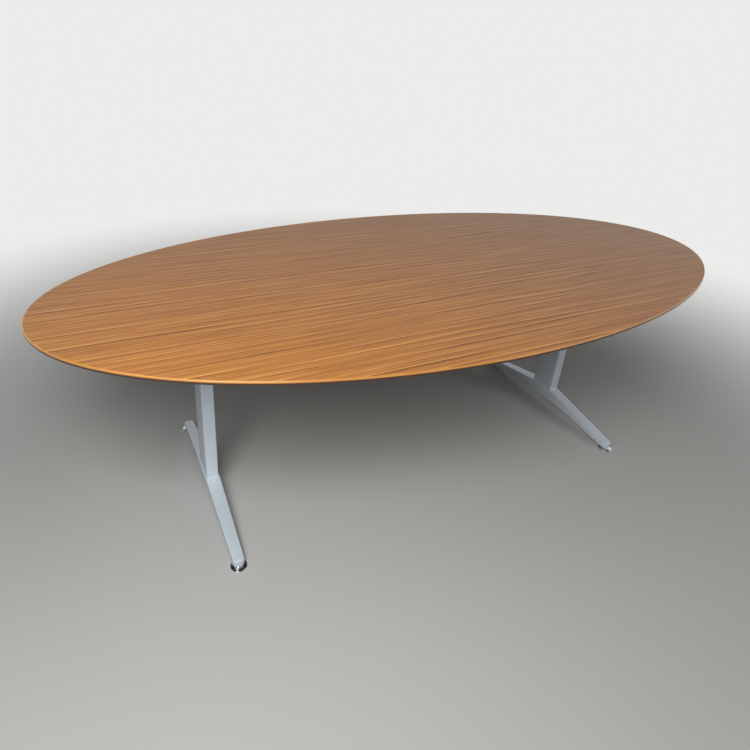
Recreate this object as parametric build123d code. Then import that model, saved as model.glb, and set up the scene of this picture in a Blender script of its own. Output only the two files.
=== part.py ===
from build123d import *
import math
import os

# Oval conference table on two T-legs, in millimetres.
# The origin is on the floor under the middle of the top, X runs along the length and Z is up.

# Top board: a veneered oval core whose underside is bevelled so that the rim looks thin
top_length = 2400.0
top_width = 1200.0
table_height = 720.0
veneer_thickness = 1.0
core_thickness = 25.0
backing_thickness = 1.0
band_thickness = 3.0
band_round = 2.5
rim_height = 12.0
bevel_width = 70.0

# Legs: distance from the middle of the table to each column, and the rectangular column tube
leg_offset = 740.0
column_width = 40.0
column_depth = 100.0
column_wall = 3.0
column_corner = 4.0
base_plug_thickness = 12.0
top_plug_thickness = 10.0
plug_clearance = 0.1

# Feet: aluminium castings, wide and deep under the column, thin at the tips and arched below
foot_reach = 362.0
foot_top = 88.0
foot_tip_cover = 3.0
foot_tip_bottom = 12.0
foot_arch = 46.0
foot_border = 3.0
foot_tip_width = 33.0
foot_tip_corner = 10.0
foot_edge_round = 2.0
foot_wall = 5.0
foot_roof = 5.0
seat_thickness = 12.0
rib_thickness = 4.0
rib_lift = 5.0
ribs_per_side = 3

# Head arms: tapered steel channels that carry the board on each column
arm_width = 60.0
arm_depth = 40.0
arm_tip_depth = 16.0
arm_margin = 5.0
arm_straight = 400.0
arm_sheet = 3.0
arm_bend = 4.0

# Rails: two square tubes that tie the head arms together, with a plate welded on each end
rail_spread = 280.0
rail_size = 30.0
rail_wall = 2.0
rail_plate_thickness = 4.0
rail_plate_width = 76.0
rail_bolt_spacing = 50.0
rail_bolt_drop = 18.0

# Screws from below hold the arms and rails to inserts in the board
board_screw = 6.0
board_screw_head = 12.0
board_screw_head_height = 4.0
board_screw_engagement = 11.0
arm_screw_first = 120.0
arm_screw_end = 30.0
arm_screws_per_side = 3
rail_screw_offset = 350.0
insert_outer = 10.0
insert_length = 14.0

# Bolts through the foot and screws through the arm, both into the plugs of the column
column_bolt_spacing = 56.0
foot_bolt = 10.0
foot_bolt_flats = 17.0
foot_bolt_head_height = 6.4
foot_bolt_washer = 20.0
foot_bolt_washer_thickness = 2.0
head_screw = 8.0
head_screw_head = 14.0
rail_bolt = 8.0
rail_bolt_flats = 13.0
rail_bolt_head_height = 5.3
rail_nut_height = 6.5
thread_overrun = 2.0
hole_clearance = 0.5
thread_clearance = 0.1

# Levelling glides: a swivelling base with a floor pad, and a threaded stem with a hexagon to turn it
glide_inset = 12.0
glide_travel = 8.0
pad_diameter = 44.0
pad_thickness = 2.0
base_diameter = 50.0
base_lift = 0.8
base_rim = 3.0
base_height = 6.2
base_hub = 22.0
stem_diameter = 10.0
stem_flats = 17.0
stem_grip = 6.0
swivel_diameter = 8.0
swivel_depth = 3.5
bush_outer = 14.0
bush_flange = 18.0
bush_flange_thickness = 1.5
bush_length = 12.0
stem_roof = 2.0
running_clearance = 0.05
stop_gap = 0.3

# Levels and places that follow from the sizes above
rim_bottom = table_height - rim_height
core_top = table_height - veneer_thickness
core_bottom = core_top - core_thickness
board_bottom = core_bottom - backing_thickness
web_bottom = board_bottom - arm_sheet
top_plug_bottom = web_bottom - top_plug_thickness
base_plug_top = foot_top + base_plug_thickness
flat_inset = band_thickness + bevel_width
flange_face = leg_offset - arm_width / 2
arm_far_face = leg_offset + arm_width / 2
flat_half_length = top_length / 2 - flat_inset
flat_half_width = top_width / 2 - flat_inset
arm_reach = flat_half_width * math.sqrt(1 - (arm_far_face / flat_half_length) ** 2) - arm_margin
rail_end = flange_face - rail_plate_thickness
rail_bottom = board_bottom - rail_size
rail_bolt_z = board_bottom - rail_bolt_drop
seat_bottom = foot_top - seat_thickness
seat_half = column_depth / 2 + foot_border
foot_half_width = column_width / 2 + foot_border
foot_tip_flat = 2 * glide_inset + bush_flange
glide_reach = foot_reach - glide_inset
cavity_end = glide_reach - bush_flange / 2 - foot_wall
hex_bottom = base_height + base_lift + stop_gap
hex_top = foot_tip_bottom - stop_gap
stem_engagement = glide_travel + stem_grip + stop_gap
stem_bore_top = hex_top + stem_engagement + stem_roof
foot_tip_top = stem_bore_top + foot_tip_cover

sides = {"left": -1, "right": 1}
ends = {"front": -1, "back": 1}


def cylinder(diameter, low, high, place=(0, 0)):
    """Upright cylinder between two levels."""
    return Pos(place[0], place[1], low) * extrude(Circle(diameter / 2), high - low)


def hexagon(flats, low, high, place=(0, 0)):
    """Upright hexagonal prism between two levels, measured across its flats."""
    return Pos(place[0], place[1], low) * extrude(RegularPolygon(flats / math.sqrt(3), 6), high - low)


def block(x_span, y_span, z_span):
    """Box between two corners given as spans."""
    size = [high - low for low, high in (x_span, y_span, z_span)]
    middle = [(high + low) / 2 for low, high in (x_span, y_span, z_span)]
    return Pos(*middle) * Box(*size)


def oval(inset):
    """Outline of the top, an ellipse drawn in by an inset."""
    return Ellipse(top_length / 2 - inset, top_width / 2 - inset)


def oval_plate(inset, low, high):
    """Plate with the top's outline drawn in by an inset, between two levels."""
    return Pos(0, 0, low) * extrude(oval(inset), high - low)


def save(name, *solids):
    """Write one piece, or a group of like pieces, to its own file."""
    shape = solids[0] if len(solids) == 1 else Compound(children=list(solids))
    export_step(shape, f"parts/{name}.step")


def column_bolt_places(side):
    """Places of the two bolts in line with a column's middle."""
    return [(side * leg_offset, end * column_bolt_spacing / 2) for end in ends.values()]


def arm_screw_places(side):
    """Places of the screws along one head arm, clear of the column."""
    pitch = (arm_reach - arm_screw_end - arm_screw_first) / (arm_screws_per_side - 1)
    steps = [arm_screw_first + pitch * index for index in range(arm_screws_per_side)]
    return [(side * leg_offset, end * step) for end in ends.values() for step in steps]


def rail_screw_places(end):
    """Places of the screws along one rail."""
    return [(side * rail_screw_offset, end * rail_spread / 2) for side in sides.values()]


def rail_bolt_places(end):
    """Positions across the table of the two bolts at one end of a rail."""
    return [end * rail_spread / 2 + hand * rail_bolt_spacing / 2 for hand in (-1, 1)]


def insert_places():
    """Places of every threaded insert in the board."""
    arm_places = [place for side in sides.values() for place in arm_screw_places(side)]
    return arm_places + [place for end in ends.values() for place in rail_screw_places(end)]


def make_top():
    """Oval core with an undercut bevel, its veneer, backing sheet, edge band and threaded inserts."""
    rim_plate = oval_plate(band_thickness, rim_bottom, core_top)
    rim_face = Pos(0, 0, rim_bottom) * oval(band_thickness)
    flat_face = Pos(0, 0, core_bottom) * oval(flat_inset)
    core = rim_plate + loft([rim_face, flat_face], ruled=True)
    backing = oval_plate(flat_inset, board_bottom, core_bottom)
    pocket_top = board_bottom + insert_length
    inserts = []
    for place in insert_places():
        pocket = cylinder(insert_outer + 2 * thread_clearance, board_bottom, pocket_top, place)
        core -= pocket
        backing -= pocket
        body = cylinder(insert_outer, board_bottom, pocket_top, place)
        bore = cylinder(board_screw + 2 * thread_clearance, board_bottom, pocket_top, place)
        inserts.append(body - bore)
    rounded = oval_plate(0, rim_bottom, table_height)
    rounded = fillet(rounded.edges().filter_by(GeomType.ELLIPSE), band_round)
    band = rounded - oval_plate(band_thickness, rim_bottom, table_height)
    save("top_core", core)
    save("top_backing", backing)
    save("top_veneer", oval_plate(band_thickness, core_top, table_height))
    save("edge_band", band)
    save("board_inserts", *inserts)


def make_arm(name, side):
    """Head arm folded from sheet: a flat web under the board and two flanges that taper to the tips."""
    outline = Polyline(
        (-arm_reach, board_bottom),
        (arm_reach, board_bottom),
        (arm_reach, board_bottom - arm_tip_depth),
        (arm_straight / 2, board_bottom - arm_depth),
        (-arm_straight / 2, board_bottom - arm_depth),
        (-arm_reach, board_bottom - arm_tip_depth),
        close=True,
    )
    middle = side * leg_offset
    arm = Pos(middle, 0, 0) * extrude(Plane.YZ * make_face(outline), arm_width / 2, both=True)
    folds = arm.edges().filter_by(Axis.Y).filter_by_position(Axis.Z, board_bottom - 1, board_bottom + 1)
    arm = fillet(folds, arm_bend)
    inner = arm_width / 2 - arm_sheet
    arm -= block((middle - inner, middle + inner), (-arm_reach, arm_reach), (0, web_bottom))
    for place in arm_screw_places(side):
        arm -= cylinder(board_screw + 2 * hole_clearance, web_bottom, board_bottom, place)
    for place in column_bolt_places(side):
        arm -= head_screw_solid(place, 2 * hole_clearance)
    for across in [place for end in ends.values() for place in rail_bolt_places(end)]:
        hole = Plane.YZ * Pos(across, rail_bolt_z) * Circle(rail_bolt / 2 + hole_clearance)
        arm -= extrude(Pos(side * flange_face, 0, 0) * hole, side * arm_sheet)
    save(f"head_arm_{name}", arm)


def head_screw_solid(place, growth):
    """Countersunk screw flush with the arm's web, or with growth the hole that takes it."""
    shank = cylinder(head_screw + growth, top_plug_bottom, board_bottom, place)
    wide = (head_screw_head + growth) / 2
    narrow = (head_screw + growth) / 2
    cone = Pos(place[0], place[1], web_bottom) * Cone(
        narrow, wide, arm_sheet, align=(Align.CENTER, Align.CENTER, Align.MIN)
    )
    return shank + cone


def make_column(name, side):
    """Rectangular column tube with a plug welded flush in each end."""
    outer = RectangleRounded(column_width, column_depth, column_corner)
    inner_corner = max(column_corner - column_wall, column_wall / 4)
    inner_size = (column_width - 2 * column_wall, column_depth - 2 * column_wall)
    inner = RectangleRounded(*inner_size, inner_corner)
    place = Pos(side * leg_offset, 0, foot_top)
    save(f"column_{name}", place * extrude(outer - inner, web_bottom - foot_top))
    plug_size = (inner_size[0] - 2 * plug_clearance, inner_size[1] - 2 * plug_clearance)
    plug = RectangleRounded(*plug_size, inner_corner)
    base_plug = place * extrude(plug, base_plug_thickness)
    top_plug = Pos(side * leg_offset, 0, top_plug_bottom) * extrude(plug, top_plug_thickness)
    for spot in column_bolt_places(side):
        base_plug -= cylinder(foot_bolt + 2 * thread_clearance, foot_top, base_plug_top, spot)
        top_plug -= cylinder(head_screw + 2 * thread_clearance, top_plug_bottom, web_bottom, spot)
    save(f"base_plug_{name}", base_plug)
    save(f"top_plug_{name}", top_plug)


def foot_plan(inset, reach, tip_corner):
    """Spindle outline of a foot in plan, drawn in by an inset and ending at a reach."""
    wide = foot_half_width - inset
    slope = (foot_half_width - foot_tip_width / 2) / (foot_reach - seat_half)
    narrow = wide - slope * (reach - seat_half)
    outline = make_face(
        Polyline(
            (narrow, -reach),
            (wide, -seat_half),
            (wide, seat_half),
            (narrow, reach),
            (-narrow, reach),
            (-wide, seat_half),
            (-wide, -seat_half),
            (-narrow, -reach),
            close=True,
        )
    )
    if not tip_corner:
        return outline
    corners = [vertex for vertex in outline.vertices() if abs(vertex.Y) > seat_half + 1]
    return fillet(corners, tip_corner)


def foot_profile(drop):
    """Side view of a foot: flat seat, straight slopes to the tips and an arched underside."""
    flat_start = foot_reach - foot_tip_flat
    underside = ThreePointArc((-flat_start, foot_tip_bottom), (0, foot_arch), (flat_start, foot_tip_bottom))
    upper = Polyline(
        (flat_start, foot_tip_bottom),
        (foot_reach, foot_tip_bottom),
        (foot_reach, foot_tip_top - drop),
        (seat_half, foot_top - drop),
        (-seat_half, foot_top - drop),
        (-foot_reach, foot_tip_top - drop),
        (-foot_reach, foot_tip_bottom),
        (-flat_start, foot_tip_bottom),
    )
    return make_face([underside, upper])


def outer_edges(faces):
    """Edges that belong to only one of the faces."""
    edges = [edge for face in faces for edge in face.edges()]
    return [edge for edge in edges if sum(edge.is_same(other) for other in edges) == 1]


def foot_body():
    """Cast foot about its own middle: arched spindle, hollow and ribbed below, solid at the tips."""
    profile = extrude(Plane.YZ * foot_profile(0), foot_half_width, both=True)
    foot = extrude(foot_plan(0, foot_reach, foot_tip_corner), foot_top) & profile
    top_faces = [face for face in foot.faces() if face.normal_at().Z > 0.5]
    foot = fillet(outer_edges(top_faces), foot_edge_round)
    roof_line = extrude(Plane.YZ * foot_profile(foot_roof), foot_half_width, both=True)
    below = block((-foot_half_width, foot_half_width), (-foot_reach, foot_reach), (0, foot_arch))
    cavity = extrude(foot_plan(foot_wall, cavity_end, 0), foot_top) & (roof_line + below)
    cavity -= block((-foot_half_width, foot_half_width), (-seat_half, seat_half), (seat_bottom, foot_top))
    rib_step = (cavity_end - seat_half) / (ribs_per_side + 1)
    for end in ends.values():
        for index in range(ribs_per_side + 1):
            middle = end * (seat_half + rib_step * index)
            span = (middle - rib_thickness / 2, middle + rib_thickness / 2)
            rib = block((-foot_half_width, foot_half_width), span, (0, foot_top))
            cavity -= rib & (Pos(0, 0, rib_lift) * profile)
    return foot - cavity


def make_foot(name, side):
    """Foot with its bolt holes and the stepped bores that take the glide bushes."""
    foot = Pos(side * leg_offset, 0, 0) * foot_body()
    for place in column_bolt_places(side):
        foot -= cylinder(foot_bolt + 2 * hole_clearance, seat_bottom, foot_top, place)
    for end in ends.values():
        place = (side * leg_offset, end * glide_reach)
        bush_top = foot_tip_bottom + bush_length
        flange_top = foot_tip_bottom + bush_flange_thickness
        foot -= cylinder(bush_flange + 2 * thread_clearance, foot_tip_bottom, flange_top, place)
        foot -= cylinder(bush_outer + 2 * thread_clearance, foot_tip_bottom, bush_top, place)
        foot -= cylinder(stem_diameter + 2 * hole_clearance, foot_tip_bottom, stem_bore_top, place)
    save(f"foot_{name}", foot)


def make_leg_fasteners(name, side):
    """Bolts and washers under the foot, countersunk screws in the arm and screws into the board."""
    bolts = []
    washers = []
    head_top = seat_bottom - foot_bolt_washer_thickness
    for place in column_bolt_places(side):
        head = hexagon(foot_bolt_flats, head_top - foot_bolt_head_height, head_top, place)
        bolts.append(head + cylinder(foot_bolt, head_top, base_plug_top - thread_overrun, place))
        ring = cylinder(foot_bolt_washer, head_top, seat_bottom, place)
        washers.append(ring - cylinder(foot_bolt + 2 * hole_clearance, head_top, seat_bottom, place))
    save(f"foot_bolts_{name}", *bolts)
    save(f"foot_washers_{name}", *washers)
    save(f"head_screws_{name}", *[head_screw_solid(place, 0) for place in column_bolt_places(side)])
    save(f"arm_screws_{name}", *[board_screw_solid(web_bottom, place) for place in arm_screw_places(side)])


def board_screw_solid(head_top, place):
    """Round-headed screw with its head below a level and its shank in the board's insert."""
    head = cylinder(board_screw_head, head_top - board_screw_head_height, head_top, place)
    head = chamfer(head.edges().group_by(Axis.Z)[0], board_screw_head_height / 2)
    return head + cylinder(board_screw, head_top, board_bottom + board_screw_engagement, place)


def make_rail(name, end):
    """Square tube between the head arms, its end plates and the screws into the board."""
    across = end * rail_spread / 2
    half = rail_size / 2
    tube = block((-rail_end, rail_end), (across - half, across + half), (rail_bottom, board_bottom))
    inner = half - rail_wall
    tube -= block(
        (-rail_end, rail_end),
        (across - inner, across + inner),
        (rail_bottom + rail_wall, board_bottom - rail_wall),
    )
    for place in rail_screw_places(end):
        tube -= cylinder(board_screw + 2 * hole_clearance, rail_bottom, board_bottom, place)
    save(f"rail_{name}", tube)
    save(f"rail_screws_{name}", *[board_screw_solid(rail_bottom, place) for place in rail_screw_places(end)])
    plates = []
    for side in sides.values():
        x_span = sorted((side * rail_end, side * flange_face))
        y_span = (across - rail_plate_width / 2, across + rail_plate_width / 2)
        plate = block(x_span, y_span, (rail_bottom, board_bottom))
        for spot in rail_bolt_places(end):
            hole = Plane.YZ * Pos(spot, rail_bolt_z) * Circle(rail_bolt / 2 + hole_clearance)
            plate -= extrude(Pos(side * rail_end, 0, 0) * hole, side * rail_plate_thickness)
        plates.append(plate)
    save(f"rail_plates_{name}", *plates)


def make_rail_bolts(name, side):
    """Bolts that clamp the rail plates to one arm's flange, with their nuts inside the channel."""
    bolts = []
    nuts = []
    flange_inside = flange_face + arm_sheet
    nut_end = flange_inside + rail_nut_height
    shank_end = nut_end + thread_overrun
    for across in [place for end in ends.values() for place in rail_bolt_places(end)]:
        lay = Pos(0, across, rail_bolt_z) * Rot(0, 90, 0)
        head = hexagon(rail_bolt_flats, rail_end - rail_bolt_head_height, rail_end)
        bolt = lay * (head + cylinder(rail_bolt, rail_end, shank_end))
        nut = lay * hexagon(rail_bolt_flats, flange_inside, nut_end)
        nut -= lay * cylinder(rail_bolt + 2 * thread_clearance, flange_inside, nut_end)
        bolts.append(bolt if side > 0 else mirror(bolt, Plane.YZ))
        nuts.append(nut if side > 0 else mirror(nut, Plane.YZ))
    save(f"rail_bolts_{name}", *bolts)
    save(f"rail_nuts_{name}", *nuts)


def base_profile():
    """Half section of a glide base: a rim, a shallow cone and a hub with a socket for the swivel."""
    top = base_height + base_lift
    socket = swivel_diameter / 2 + running_clearance
    socket_floor = top - swivel_depth
    recess = pad_diameter / 2 + thread_clearance
    return make_face(
        Polyline(
            (0, pad_thickness),
            (recess, pad_thickness),
            (recess, base_lift),
            (base_diameter / 2, base_lift),
            (base_diameter / 2, base_lift + base_rim),
            (base_hub / 2, top - base_lift),
            (base_hub / 2, top),
            (socket, top),
            (socket, socket_floor),
            (0, socket_floor),
            close=True,
        )
    )


def make_glide(name, place):
    """Glide under one foot tip: base and pad, threaded stem with hexagon, and the bush in the foot."""
    spot = Pos(place[0], place[1], 0)
    save(f"glide_base_{name}", spot * revolve(Plane.XZ * base_profile(), Axis.Z))
    save(f"glide_pad_{name}", cylinder(pad_diameter, 0, pad_thickness, place))
    swivel_bottom = base_height + base_lift - swivel_depth + stop_gap
    stem = hexagon(stem_flats, hex_bottom, hex_top, place)
    stem += cylinder(swivel_diameter, swivel_bottom, hex_bottom, place)
    stem += cylinder(stem_diameter, hex_top, hex_top + stem_engagement, place)
    save(f"glide_stem_{name}", stem)
    bush = cylinder(bush_outer, foot_tip_bottom, foot_tip_bottom + bush_length, place)
    bush += cylinder(bush_flange, foot_tip_bottom, foot_tip_bottom + bush_flange_thickness, place)
    bore = stem_diameter + 2 * running_clearance
    bush -= cylinder(bore, foot_tip_bottom, foot_tip_bottom + bush_length, place)
    save(f"glide_bush_{name}", bush)


os.makedirs("parts", exist_ok=True)
make_top()
for end_name, end in ends.items():
    make_rail(end_name, end)
for side_name, side in sides.items():
    make_arm(side_name, side)
    make_column(side_name, side)
    make_foot(side_name, side)
    make_leg_fasteners(side_name, side)
    make_rail_bolts(side_name, side)
    for end_name, end in ends.items():
        make_glide(f"{end_name}_{side_name}", (side * leg_offset, end * glide_reach))
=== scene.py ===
import math

import bmesh
import bpy
import numpy as np
from bpy.props import FloatProperty, FloatVectorProperty, IntProperty, PointerProperty
from mathutils import Matrix, Vector


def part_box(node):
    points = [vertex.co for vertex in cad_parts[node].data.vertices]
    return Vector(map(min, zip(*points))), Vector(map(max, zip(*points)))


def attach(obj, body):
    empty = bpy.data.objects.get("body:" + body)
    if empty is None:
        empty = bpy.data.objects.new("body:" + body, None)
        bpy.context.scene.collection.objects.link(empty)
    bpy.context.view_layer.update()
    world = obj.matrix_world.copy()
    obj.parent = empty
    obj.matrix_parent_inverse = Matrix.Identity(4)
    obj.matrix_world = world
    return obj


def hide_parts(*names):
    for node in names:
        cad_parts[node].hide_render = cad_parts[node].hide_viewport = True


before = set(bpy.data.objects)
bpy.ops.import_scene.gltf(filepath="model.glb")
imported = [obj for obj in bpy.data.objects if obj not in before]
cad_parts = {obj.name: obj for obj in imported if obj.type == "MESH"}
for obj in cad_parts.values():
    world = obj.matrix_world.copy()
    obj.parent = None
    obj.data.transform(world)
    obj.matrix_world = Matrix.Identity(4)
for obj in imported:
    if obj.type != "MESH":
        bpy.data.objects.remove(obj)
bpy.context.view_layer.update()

bl_info = {
    "name": "Oval conference table",
    "version": (1, 0, 0),
    "blender": (4, 5, 0),
    "location": "View3D > Sidebar > Table",
    "description": "Veneered oval top on two silver T-legs with chrome levelling glides",
    "category": "Object",
}

SIDES = {"left": -1, "right": 1}
ENDS = {"front": -1, "back": 1}
CORNERS = [f"{end}_{side}" for end in ENDS for side in SIDES]
MERGE_DISTANCE = 1e-6
ROUND_COLUMNS = 48
FINE_COLUMNS = 96
SOFT_CREASE = 32.0
FINE_CREASE = 25.0
THREAD_ROWS_PER_TURN = 9
CORNER_POINTS = 9
COLUMN_ROWS = 5
BAY_ROWS = 9
TIP_ROWS = 6
TIP_CORNER_ROWS = 15
# hexagon ends are eased by a cone at this angle, which starts inside the flats by this share of their width
CONE_ANGLE = math.radians(30)
CONE_INSET = 0.02
CONE_ROWS = 6
# place, point faced, and width and height of each softbox
SOFTBOXES = {
    "overhead": ((0.2, 0.8, 4.4), (0.0, 0.0, 0.4), (5.0, 4.0)),
    "front": ((-1.35, -1.45, 1.9), (-0.3, -0.25, 0.5), (1.0, 0.9)),
    "right": ((1.9, -1.9, 1.3), (0.74, -0.2, 0.1), (0.8, 0.6)),
}
# materials made so far, by slot
FINISHED = {}


def linear(hex_code):
    """Turn an sRGB hex value into the linear red, green, blue and alpha that a shader takes."""
    channel = np.array([int(hex_code[start:start + 2], 16) for start in (1, 3, 5)]) / 255
    bright = ((channel + 0.055) / 1.055) ** 2.4
    return (*np.where(channel <= 0.04045, channel / 12.92, bright).tolist(), 1.0)


def length(name, description, default):
    """Length property in metres."""
    return FloatProperty(name=name, description=description, default=default, unit="LENGTH", precision=4)


def lengths(name, description, default):
    """Several lengths in metres, such as a place or a row of radii."""
    size = len(default)
    return FloatVectorProperty(name=name, description=description, default=default, size=size, unit="LENGTH")


def power(name, description, default):
    """Power property in watts."""
    return FloatProperty(name=name, description=description, default=default, unit="POWER")


def colour(name, description, hex_code):
    """Colour property given as an sRGB hex value."""
    default = linear(hex_code)
    return FloatVectorProperty(name=name, description=description, default=default, size=4, subtype="COLOR")


def angle(name, description, degrees):
    """Angle property given in degrees."""
    return FloatProperty(name=name, description=description, default=math.radians(degrees), unit="ROTATION")


class TopSizes(bpy.types.PropertyGroup):
    """Sizes of the oval top that its node boxes don't give."""
    band_thickness: length("Band thickness", "Thickness of the band round the rim", 0.003)
    band_round: length("Band rounding", "Radius on the band's two outer edges", 0.0025)
    joint_ease: length("Joint easing", "Eased edge of the veneer where it meets the band", 0.0003)
    bevel_width: length("Bevel width", "Width of the sloped underside behind the rim", 0.070)
    segments: IntProperty(name="Segments", description="Points round the oval", default=384, min=24)


class LegSizes(bpy.types.PropertyGroup):
    """Sizes of the columns and cast feet that their node boxes don't give."""
    column_corner: length("Column corner", "Outside corner radius of the column tube", 0.004)
    foot_border: length("Seat border", "How far the foot's seat stands out round the column", 0.003)
    tip_top: length("Tip height", "Height of the foot's top at its tips", 0.031)
    tip_width: length("Tip width", "Width of the foot at its tips", 0.033)
    tip_corner: length("Tip corner", "Corner radius of the tips in plan", 0.010)
    arch_height: length("Arch height", "Height of the foot's underside in the middle", 0.046)
    tip_flat: length("Tip flat", "Length of the flat underside at each tip", 0.042)
    arris: length("Arris", "Rounding of the foot's upper edges", 0.002)
    lip: length("Lip", "Rounding of the foot's lower edges", 0.001)
    wall: length("Wall", "Thickness of the casting's side walls", 0.005)
    roof: length("Roof", "Thickness of the casting's roof", 0.005)
    seat: length("Seat", "Thickness of the casting under the column", 0.012)
    rib: length("Rib", "Thickness of the cross ribs", 0.004)
    rib_lift: length("Rib lift", "How far the ribs stay above the lower edge", 0.005)
    cavity_end: length("Cavity end", "Solid length at each tip that takes the glide", 0.026)
    ribs: IntProperty(name="Ribs", description="Ribs between the seat and each tip", default=3, min=0)


class GlideSizes(bpy.types.PropertyGroup):
    """Sizes of the levelling glides that their node boxes don't give."""
    rim: length("Rim", "Height of the base's upright rim", 0.003)
    crown: length("Crown", "Height of the hub's upright side", 0.0008)
    hub: length("Hub", "Diameter of the hub on the base", 0.022)
    rim_round: length("Rim rounding", "Rounding of the base's rim", 0.0007)
    hub_round: length("Hub rounding", "Rounding at the foot of the hub", 0.0004)
    crown_ease: length("Crown easing", "Eased upper edge of the hub", 0.0003)
    pad_gap: length("Pad gap", "Gap round the pad in its recess", 0.0001)
    pad_ease: length("Pad easing", "Eased lower edge of the pad", 0.0006)
    flats: length("Flats", "Width across the flats of the hexagon", 0.017)
    swivel: length("Swivel", "Diameter of the swivel under the hexagon", 0.008)
    swivel_gap: length("Swivel gap", "Gap round the swivel in its socket", 0.00015)
    swivel_drop: length("Swivel drop", "Gap under the swivel in its socket", 0.0002)
    hexagon_gap: length("Hexagon gap", "Gap above and below the hexagon", 0.0003)
    stem: length("Stem", "Outside diameter of the thread", 0.010)
    pitch: length("Pitch", "Rise of the thread in one turn", 0.0015)
    thread_depth: length("Thread depth", "Depth of the thread", 0.0008)
    bush_flange: length("Bush flange", "Thickness of the bush's flange", 0.0015)
    bush_ledge: length("Bush ledge", "How far the bush's flange stands out", 0.002)
    bush_proud: length("Bush proud", "How far the bush's flange stands below the foot", 0.00015)
    bush_bore: length("Bush bore", "Diameter of the bush's hole", 0.0101)


class FastenerSizes(bpy.types.PropertyGroup):
    """Places and sizes of the bolts and screws."""
    foot_bolt_spacing: length("Foot bolt spacing", "Distance between the bolts under a foot", 0.056)
    foot_bolt_flats: length("Foot bolt flats", "Width across the flats of the foot bolts", 0.017)
    foot_bolt_head: length("Foot bolt head", "Height of the foot bolts' heads", 0.0064)
    foot_bolt: length("Foot bolt", "Diameter of the foot bolts", 0.010)
    screw_head: length("Screw head", "Height of the heads of the screws into the board", 0.004)
    screw_head_width: length("Screw head width", "Diameter of those heads", 0.012)
    screw_dome: length("Screw dome", "Width of the domed border of those heads", 0.0024)
    screw_dome_height: length("Screw dome height", "Height of the domed border of those heads", 0.0026)
    screw_socket: length("Screw socket", "Width across the flats of the sockets in those heads", 0.004)
    screw_socket_depth: length("Screw socket depth", "Depth of those sockets", 0.0022)
    screw: length("Screw", "Diameter of the screws into the board", 0.006)
    arm_screw_first: length("First arm screw", "Distance of the inner arm screws from the column", 0.120)
    arm_screws: IntProperty(name="Arm screws", description="Screws in each half of an arm", default=3, min=2)
    rail_screw_offset: length("Rail screw", "Distance of the rail screws from the middle", 0.350)
    rail_bolt_spacing: length("Rail bolt spacing", "Distance between the bolts at a rail's end", 0.050)
    rail_bolt_flats: length("Rail bolt flats", "Width across the flats of the rail bolts", 0.013)
    rail_bolt_head: length("Rail bolt head", "Height of the rail bolts' heads", 0.0053)
    rail_bolt: length("Rail bolt", "Diameter of the rail bolts", 0.008)


class Finishes(bpy.types.PropertyGroup):
    """Colours of the finishes, and the heights on the band's lower rim where its painted shade starts and
    becomes full.
    """
    cherry_light: colour("Cherry light", "Pale streaks of the veneer", "#D2944C")
    cherry_middle: colour("Cherry middle", "Main tone of the veneer", "#AF7132")
    cherry_dark: colour("Cherry dark", "Dark streaks of the veneer", "#7E4A1E")
    cherry_pore: colour("Cherry pores", "Fine dark fibres of the veneer", "#5E3615")
    band_light: colour("Band light", "Pale tone of the edge band", "#D69A4E")
    band_dark: colour("Band dark", "Dark tone of the edge band", "#A86C30")
    # painted shade: the band's lower rim is darkened between these two heights
    painted_shade_end: length("Painted shade end", "Height on the rim at which the stain ends", 0.0085)
    painted_shade_full: length("Painted shade full", "Height on the rim below which the stain is full", 0.0055)
    core_stain: colour("Core stain", "Stained underside of the board", "#5A3A24")
    core_fibre: colour("Core fibre", "Darker fibres in the stained underside", "#3C2617")
    backing: colour("Backing", "Balancing sheet under the board", "#7A5B3F")
    silver_light: colour("Silver light", "Bright flakes of the silver paint", "#D9E3EB")
    silver_dark: colour("Silver dark", "Darker ground of the silver paint", "#C6D0D9")
    zinc_light: colour("Zinc light", "Bright tone of the zinc plating", "#C9CBC6")
    zinc_dark: colour("Zinc dark", "Dull tone of the zinc plating", "#A7A9A6")
    chrome_light: colour("Chrome light", "Bright tone of the chrome", "#DCDDDF")
    chrome_dark: colour("Chrome dark", "Handled tone of the chrome", "#C4C6C9")
    nylon_light: colour("Nylon light", "Scuffed tone of the floor pads", "#2B2B2C")
    nylon_dark: colour("Nylon dark", "Main tone of the floor pads", "#161617")


class Studio(bpy.types.PropertyGroup):
    """Camera, light and backdrop."""
    camera_place: lengths("Camera", "Place of the camera", (-1.0282, -1.5137, 1.4186))
    camera_turn: angle("Turn", "Turn of the view to the right of the Y axis", 24.46)
    camera_tilt: angle("Tilt", "Tilt of the view below the horizon", 26.25)
    camera_roll: angle("Roll", "Roll of the camera", 2.2)
    lens: FloatProperty(name="Lens", description="Focal length on a 36 mm frame", default=27.28)
    shift: FloatVectorProperty(
        name="Shift", description="Shift of the frame that the crop needs", default=(0.0701, -0.0795), size=2
    )
    overhead_power: power("Overhead power", "Power of the overhead softbox", 6.0)
    front_power: power("Front power", "Power of the front softbox", 50.0)
    right_power: power("Right power", "Power of the right softbox", 9.0)
    sky: FloatProperty(name="Sky", description="Strength of the even light from above", default=0.16)
    sky_colour: colour("Sky colour", "Colour of the even light from above", "#F4F6F8")
    backdrop: colour("Backdrop", "Colour of the floor and backdrop", "#B8B8B5")
    glow: colour("Glow", "Colour of the backdrop where it looks lit from behind", "#ECECEA")
    glow_start: length("Glow start", "Distance at which the backdrop begins to look lit from behind", 1.2)
    glow_full: length("Glow full", "Distance from which the backdrop looks fully lit", 3.4)
    floor_rings: lengths("Floor rings", "Radii of the rings of the flat floor", (0.02, 1.0, 2.5))
    backdrop_radius: length("Backdrop radius", "Radius of the floor", 7.0)
    backdrop_height: length("Backdrop height", "Height of the curved wall", 5.2)
    backdrop_sweep: length("Backdrop sweep", "Radius of the curve between floor and wall", 2.5)


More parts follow.
